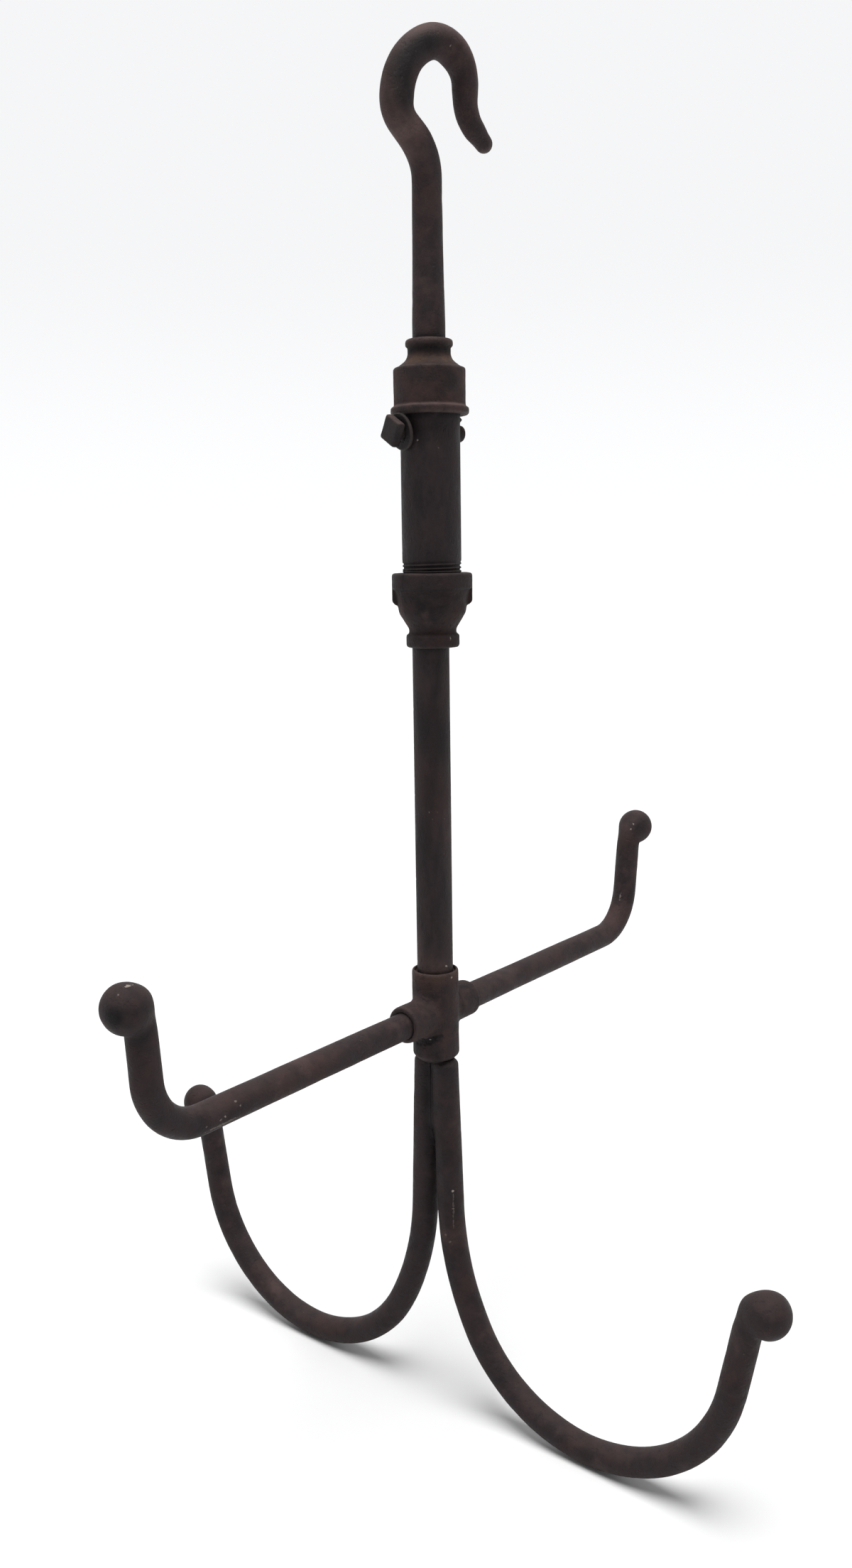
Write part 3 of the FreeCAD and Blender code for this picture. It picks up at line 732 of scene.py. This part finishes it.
def iron(name, dark, brown, rust, rust_share=0.35, grain=900.0, grain_depth=0.00012,
         stretch=(1, 1, 1), shine=0.15, rough=(0.5, 0.78), wear=0.55,
         warm_band=None, pale_marks=(), mottle=1.0):
    """Oxidised iron: mottled browns, rust in hollows, grime with painted shade, rubbed edges, pale
    dust with painted light, pale chips and painted highlights.
    """
    material = bpy.data.materials.new(name)
    material.use_nodes = True
    tree = material.node_tree
    tree.nodes.clear()
    place = add(tree, "ShaderNodeTexCoord").outputs["Object"]
    coords = add(tree, "ShaderNodeMapping", {"Vector": place, "Scale": stretch}).outputs[0]
    worn = stored(tree, "worn")
    sheltered = stored(tree, "sheltered")

    broad = noise_of(tree, coords, *BROAD)
    patches = noise_of(tree, coords, *PATCHES)
    speckle = noise_of(tree, coords, *SPECKLE)
    colour = blend_colour(tree, between(tree, patches, *BROWN_SPAN), rgba(dark), rgba(brown))
    rusty = plus(tree, between(tree, broad, *RUST_SPAN, 0.0, rust_share),
                 times(tree, sheltered, SHELTERED_RUST))
    rusty = times(tree, rusty, between(tree, speckle, *RUST_MOTTLE))
    colour = blend_colour(tree, rusty, colour, rgba(rust))
    if warm_band:
        low, high, tint = warm_band
        height = add(tree, "ShaderNodeSeparateXYZ", {0: place}).outputs[2]
        middle = (low + high) / 2
        rising = between(tree, height, low, middle)
        falling = between(tree, height, middle, high, 1.0, 0.0)
        band = times(tree, times(tree, rising, falling), between(tree, patches, *BAND_MOTTLE))
        colour = blend_colour(tree, times(tree, band, BAND_SHARE), colour, rgba(tint))
    rubbed = times(tree, worn, between(tree, patches, *RUB_MOTTLE))
    colour = blend_colour(tree, times(tree, rubbed, wear), colour, rgba(RUBBED))
    stain = between(tree, noise_of(tree, coords, *STAINS), *STAIN_SPAN, 0.0, STAIN_SHARE * mottle)
    colour = blend_colour(tree, stain, colour, rgba(GRIME_AND_SHADE))
    # Grime and painted shade from the stored marks.
    dirt_and_shade = times(tree, stored(tree, "grime_and_shade"), between(tree, patches, *GRIME_AND_SHADE_MOTTLE))
    colour = blend_colour(tree, times(tree, dirt_and_shade, GRIME_AND_SHADE_SHARE), colour, rgba(GRIME_AND_SHADE))
    # Pale dust and painted light from the stored marks, with random pale patches.
    pale = between(tree, noise_of(tree, coords, *PALE_PATCHES),
                   *PALE_SPAN, 0.0, PALE_SHARE * mottle)
    dust_and_light = times(tree, plus(tree, stored(tree, "dust_and_light"), pale),
                 between(tree, patches, *DUST_AND_LIGHT_MOTTLE))
    colour = blend_colour(tree, dust_and_light, colour, rgba(DUST_AND_LIGHT))
    # Pale flecks and chips, and the painted highlights among the listed marks.
    clusters = between(tree, noise_of(tree, place, *CLUSTERS), *CLUSTER_SPAN)
    specks = between(tree, noise_of(tree, place, *SPECKLE), *FLECK_SPAN)
    fleck_and_highlight = times(tree, specks, clusters)
    for pale_mark in pale_marks:
        fleck_and_highlight = add(tree, "ShaderNodeMath", {0: fleck_and_highlight, 1: pale_mark_share(tree, place, *pale_mark)},
                    operation="MAXIMUM").outputs[0]
    colour = blend_colour(tree, fleck_and_highlight, colour, rgba(FLECK_AND_HIGHLIGHT))

    roughness = between(tree, patches, *ROUGH_SPAN, *rough)
    roughness = plus(tree, roughness, times(tree, worn, WORN_GLOSS))
    fine = noise_of(tree, coords, grain, *GRAIN_DETAIL)
    pits = between(tree, noise_of(tree, coords, *PITS), *PIT_SPAN)
    relief = plus(tree, fine, times(tree, pits, PIT_DEPTH))
    bump = add(tree, "ShaderNodeBump",
               {"Height": relief, "Strength": 1.0, "Distance": grain_depth * GRAIN_GAIN}).outputs[0]
    shader = add(tree, "ShaderNodeBsdfPrincipled",
                 {"Base Color": colour, "Roughness": roughness, "Normal": bump,
                  "Specular IOR Level": shine})
    out = add(tree, "ShaderNodeOutputMaterial")
    tree.links.new(shader.outputs[0], out.inputs["Surface"])
    return material


def at(node, turn, radius, z):
    """A place on a round piece, at that turn about its own axis."""
    low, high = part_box(node)
    middle = (low + high) / 2
    angle = math.radians(turn)
    return Vector((middle.x + radius * math.cos(angle), middle.y + radius * math.sin(angle), z))


def on_knob(node, direction):
    """The place on an arm's knob that lies in that direction from its centre."""
    return knob_centre(node, KNOB_R[node]) + KNOB_R[node] * Vector(direction).normalized()


def forged_chips_and_highlights():
    """Chips on the bars and knobs, and painted highlights on the left knob's top: centre, half
    sizes and strength.
    """
    left_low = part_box("upper_arm_left")[0]
    right_low, right_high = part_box("upper_arm_right")
    hook_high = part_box("top_hook")[1]
    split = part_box("cross_fitting")[0].z
    speck = (0.0008, CHIP_DEEP, 0.0005)
    return (
        (on_knob("upper_arm_right", (-10.6, -4.8, 4.5)), (0.0009, 0.0009, 0.0017), 0.7),
        (on_knob("upper_arm_right", (-13.6, -4.3, 0.2)), (CHIP_DEEP, 0.0009, 0.0010), 1.0),
        (Vector((right_high.x - 0.0355, -0.0006, right_low.z + 0.0317)),
         (0.0013, 0.0007, 0.0050), 0.35),
        # Painted highlights on the top of the left knob, a large one and a small one.
        (on_knob("upper_arm_left", (-1.3, -3.4, 12.5)), (0.0034, 0.0010, 0.0010), 0.8),
        (on_knob("upper_arm_left", (-8.0, -4.0, 9.5)), (0.0007, 0.0006, 0.0006), 0.4),
        (Vector((left_low.x + 0.0630, -0.0070, left_low.z + 0.0080)), speck, 0.55),
        (Vector((left_low.x + 0.0600, -0.0069, left_low.z + 0.0074)), speck, 0.4),
        (Vector((left_low.x + 0.0505, -0.0069, left_low.z + 0.0071)), speck, 0.25),
        (Vector((left_low.x + 0.0716, -0.0055, left_low.z + 0.0126)), speck, 0.35),
        (Vector((left_low.x + 0.0738, -0.0066, left_low.z + 0.0101)), speck, 0.35),
        (Vector((left_low.x + 0.0625, -0.0060, left_low.z + 0.0042)),
         (0.0110, CHIP_DEEP, 0.0008), 0.28),
        (Vector((hook_high.x - 0.0359, -0.0103, hook_high.z - 0.0128)),
         (0.0006, 0.0009, 0.0006), 0.6),
        (Vector((-0.0062, -0.0147, split - 0.0815)), (0.0009, 0.0009, 0.0007), 0.9),
        (Vector((-0.0062, -0.0149, split - 0.0928)), (0.0008, 0.0008, 0.0012), 0.35),
        (Vector((-0.0063, -0.0149, split - 0.0940)), (0.0006, 0.0006, 0.0160), 0.16),
        (Vector((-0.0083, -0.0136, split - 0.1141)), (0.0010, 0.0010, 0.0006), 0.25),
        (Vector((-0.0089, -0.0106, split - 0.1101)), (0.0010, 0.0010, 0.0006), 0.2),
    )


def pipe_chips():
    """Chips on the pipes: centre, half sizes and strength."""
    cross_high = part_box("cross_fitting")[1]
    cap_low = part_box("swivel_cap")[0]
    return (
        (at("stem_pipe", 258.0, 0.0107, cross_high.z + 0.0035),
         (CHIP_DEEP, CHIP_DEEP, 0.0010), 0.8),
        (at("barrel_pipe", 193.0, 0.0167, cap_low.z - 0.0145),
         (CHIP_DEEP, 0.0006, 0.0006), 0.45),
    )


def cast_chips():
    """Chips on the castings: centre, half sizes and strength."""
    reducer_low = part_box("bell_reducer")[0]
    cross_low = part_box("cross_fitting")[0]
    return (
        (at("bell_reducer", 259.0, 0.0152, reducer_low.z + 0.0055),
         (0.0008, CHIP_DEEP, 0.0008), 1.0),
        (at("cross_fitting", 203.0, 0.0139, cross_low.z + 0.0150),
         (0.0007, 0.0007, 0.0005), 0.55),
        (at("cross_fitting", 262.0, 0.0139, cross_low.z + 0.0520),
         (0.0006, CHIP_DEEP, 0.0006), 0.7),
    )


def band_above(level, band):
    low, high, tint = band
    return level + low, level + high, tint


def make_materials():
    """One material for each slot: its dark, brown and rust colours, and how they lie."""
    rim = band_above(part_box("cross_fitting")[1].z, RIM_BAND)
    flare = band_above(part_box("swivel_cap")[0].z, FLARE_BAND)
    return {
        "forged_iron": iron("forged_iron", (0.0215, 0.0150, 0.0162), (0.0410, 0.0262, 0.0270),
                            (0.062, 0.030, 0.023), pale_marks=forged_chips_and_highlights()),
        "pipe_iron": iron("pipe_iron", (0.0195, 0.0147, 0.0160), (0.0370, 0.0255, 0.0265),
                          (0.054, 0.028, 0.022), grain=1100.0, stretch=(1, 1, 0.45),
                          pale_marks=pipe_chips()),
        "cast_fitting": iron("cast_fitting", (0.0215, 0.0147, 0.0155), (0.0410, 0.0258, 0.0255),
                             (0.062, 0.030, 0.022), rust_share=0.30, grain=760.0,
                             grain_depth=0.00018, rough=(0.58, 0.85), wear=0.3,
                             warm_band=rim, pale_marks=cast_chips(), mottle=1.5),
        "cast_cap": iron("cast_cap", (0.0235, 0.0157, 0.0158), (0.0440, 0.0272, 0.0262),
                         (0.066, 0.031, 0.022), rust_share=0.32, grain=760.0,
                         grain_depth=0.00018, rough=(0.58, 0.85), wear=0.4, warm_band=flare),
        "bolt_iron": iron("bolt_iron", (0.018, 0.0145, 0.0150), (0.034, 0.0250, 0.0250),
                          (0.050, 0.026, 0.021), rust_share=0.25, grain=1000.0),
        "plain_steel": iron("plain_steel", (0.045, 0.043, 0.041), (0.075, 0.071, 0.067),
                            (0.070, 0.040, 0.026), rust_share=0.2, grain=1300.0,
                            shine=0.5, rough=(0.35, 0.55)),
    }


# ---------------------------------------------------------------- assembly

def finish_piece(name, mesh, node, relief, marks):
    """Gives a mesh its relief, marks and material, and sets it in the node's place."""
    raise_surface(mesh, relief(places(mesh)))
    mark_edges(mesh, *marks)
    store(mesh, "grime_and_shade", grime_and_shade_on(node, places(mesh), normals(mesh)))
    store(mesh, "dust_and_light", dust_and_light_on(node, places(mesh), normals(mesh)))
    mesh.materials.clear()
    mesh.materials.append(materials[slots[node]])
    mesh.shade_smooth()
    piece = bpy.data.objects.new(name, mesh)
    bpy.context.scene.collection.objects.link(piece)
    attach(piece, bodies[node])
    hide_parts(node)


def build_pieces():
    finish_piece("hook_forging", skin_mesh("top_hook", BAR_VOXEL), "top_hook",
                 forged_relief, BAR_MARKS)
    for node, radius in KNOB_R.items():
        finish_piece(node + "_forging", arm_mesh(node, radius), node,
                     forged_relief, BAR_MARKS)
    for node, relief in (("swivel_cap", cast_relief), ("bell_reducer", cast_relief),
                         ("cross_fitting", cross_relief)):
        finish_piece(node + "_casting", skin_mesh(node, CAST_VOXEL), node,
                     relief, CAST_MARKS)
    finish_piece("barrel_with_thread", barrel_mesh("barrel_pipe"), "barrel_pipe",
                 pipe_relief, BARREL_MARKS)
    finish_piece("stem_skin", skin_mesh("stem_pipe", BAR_VOXEL), "stem_pipe",
                 pipe_relief, STEM_MARKS)
    finish_piece("plug_skin", skin_mesh("lower_arm_plug", CAST_VOXEL), "lower_arm_plug",
                 forged_relief, PLUG_MARKS)
    finish_piece("bolt_forging", skin_mesh("cross_bolt", SMALL_VOXEL), "cross_bolt",
                 bolt_relief, BOLT_MARKS)
    finish_piece("washer_plate", skin_mesh("bolt_washer", SMALL_VOXEL), "bolt_washer",
                 bolt_relief, WASHER_MARKS)


def dress_hidden_nodes():
    """The swivel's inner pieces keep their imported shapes, with a steel finish."""
    for node in ("thrust_washer", "swivel_nut", "cotter_pin"):
        data = frame["nodes"][node].data
        for i in range(len(data.materials)):
            data.materials[i] = materials[slots[node]]


def make_floor():
    """A plain pale square just under the part."""
    mesh = bpy.data.meshes.new("floor")
    half = FLOOR_SIDE / 2
    z = cad_low.z - FLOOR_GAP
    mesh.from_pydata([(-half, -half, z), (half, -half, z), (half, half, z), (-half, half, z)],
                     [], [(0, 1, 2, 3)])
    floor = bpy.data.objects.new("floor", mesh)
    bpy.context.scene.collection.objects.link(floor)
    material = bpy.data.materials.new("floor")
    material.use_nodes = True
    shader = material.node_tree.nodes["Principled BSDF"]
    shader.inputs["Base Color"].default_value = rgba(FLOOR_COLOUR)
    shader.inputs["Roughness"].default_value = FLOOR_ROUGHNESS
    shader.inputs["Specular IOR Level"].default_value = FLOOR_SHINE
    mesh.materials.append(material)


def make_world(front):
    """Bright walls behind and beside the part, a dim room behind the camera."""
    world = bpy.data.worlds.new("studio")
    world.use_nodes = True
    tree = world.node_tree
    direction = add(tree, "ShaderNodeTexCoord").outputs["Generated"]
    forward = add(tree, "ShaderNodeVectorMath", {0: direction, 1: front},
                  operation="DOT_PRODUCT").outputs["Value"]
    height = add(tree, "ShaderNodeSeparateXYZ", {0: direction}).outputs[2]
    strength = times(tree, between(tree, forward, *WALL_SPAN, WALL_LIGHT, ROOM_LIGHT),
                     between(tree, height, *UPPER_SPAN, 1.0, UPPER_SHARE))
    strength = times(tree, strength, between(tree, height, *FOOT_SPAN, FOOT_SHARE, 1.0))
    background = tree.nodes["Background"]
    background.inputs["Color"].default_value = rgba(WORLD_COLOUR)
    tree.links.new(strength, background.inputs["Strength"])
    bpy.context.scene.world = world


def make_lights():
    """The studio around the part and one wide soft light overhead."""
    front = CAMERA_PLACE.copy()
    front.z = 0
    make_world(front.normalized())
    data = bpy.data.lights.new("sun", "SUN")
    data.energy = SUN_STRENGTH
    data.angle = math.radians(SUN_SPREAD)
    sun = bpy.data.objects.new("sun", data)
    sun.rotation_euler = Euler((math.radians(90.0 - SUN_RISE), 0, math.radians(90.0 + SUN_TURN)))
    bpy.context.scene.collection.objects.link(sun)
    bpy.context.scene.view_settings.view_transform = "Standard"


def make_camera():
    data = bpy.data.cameras.new("camera")
    data.sensor_width = CAMERA_SENSOR
    data.lens = CAMERA_LENS
    data.clip_start, data.clip_end = CAMERA_CLIP
    camera = bpy.data.objects.new("camera", data)
    camera.location = CAMERA_PLACE
    camera.rotation_euler = Euler([math.radians(a) for a in CAMERA_TURN])
    bpy.context.scene.collection.objects.link(camera)
    bpy.context.scene.camera = camera


bodies = {node: body for body, nodes in frame["record"]["behaviour"]["bodies"].items()
          for node in nodes}
slots = {part["node"]: part["material_slot"] for part in frame["record"]["subparts"]}
materials = make_materials()
make_camera()
make_floor()
make_lights()
build_pieces()
dress_hidden_nodes()
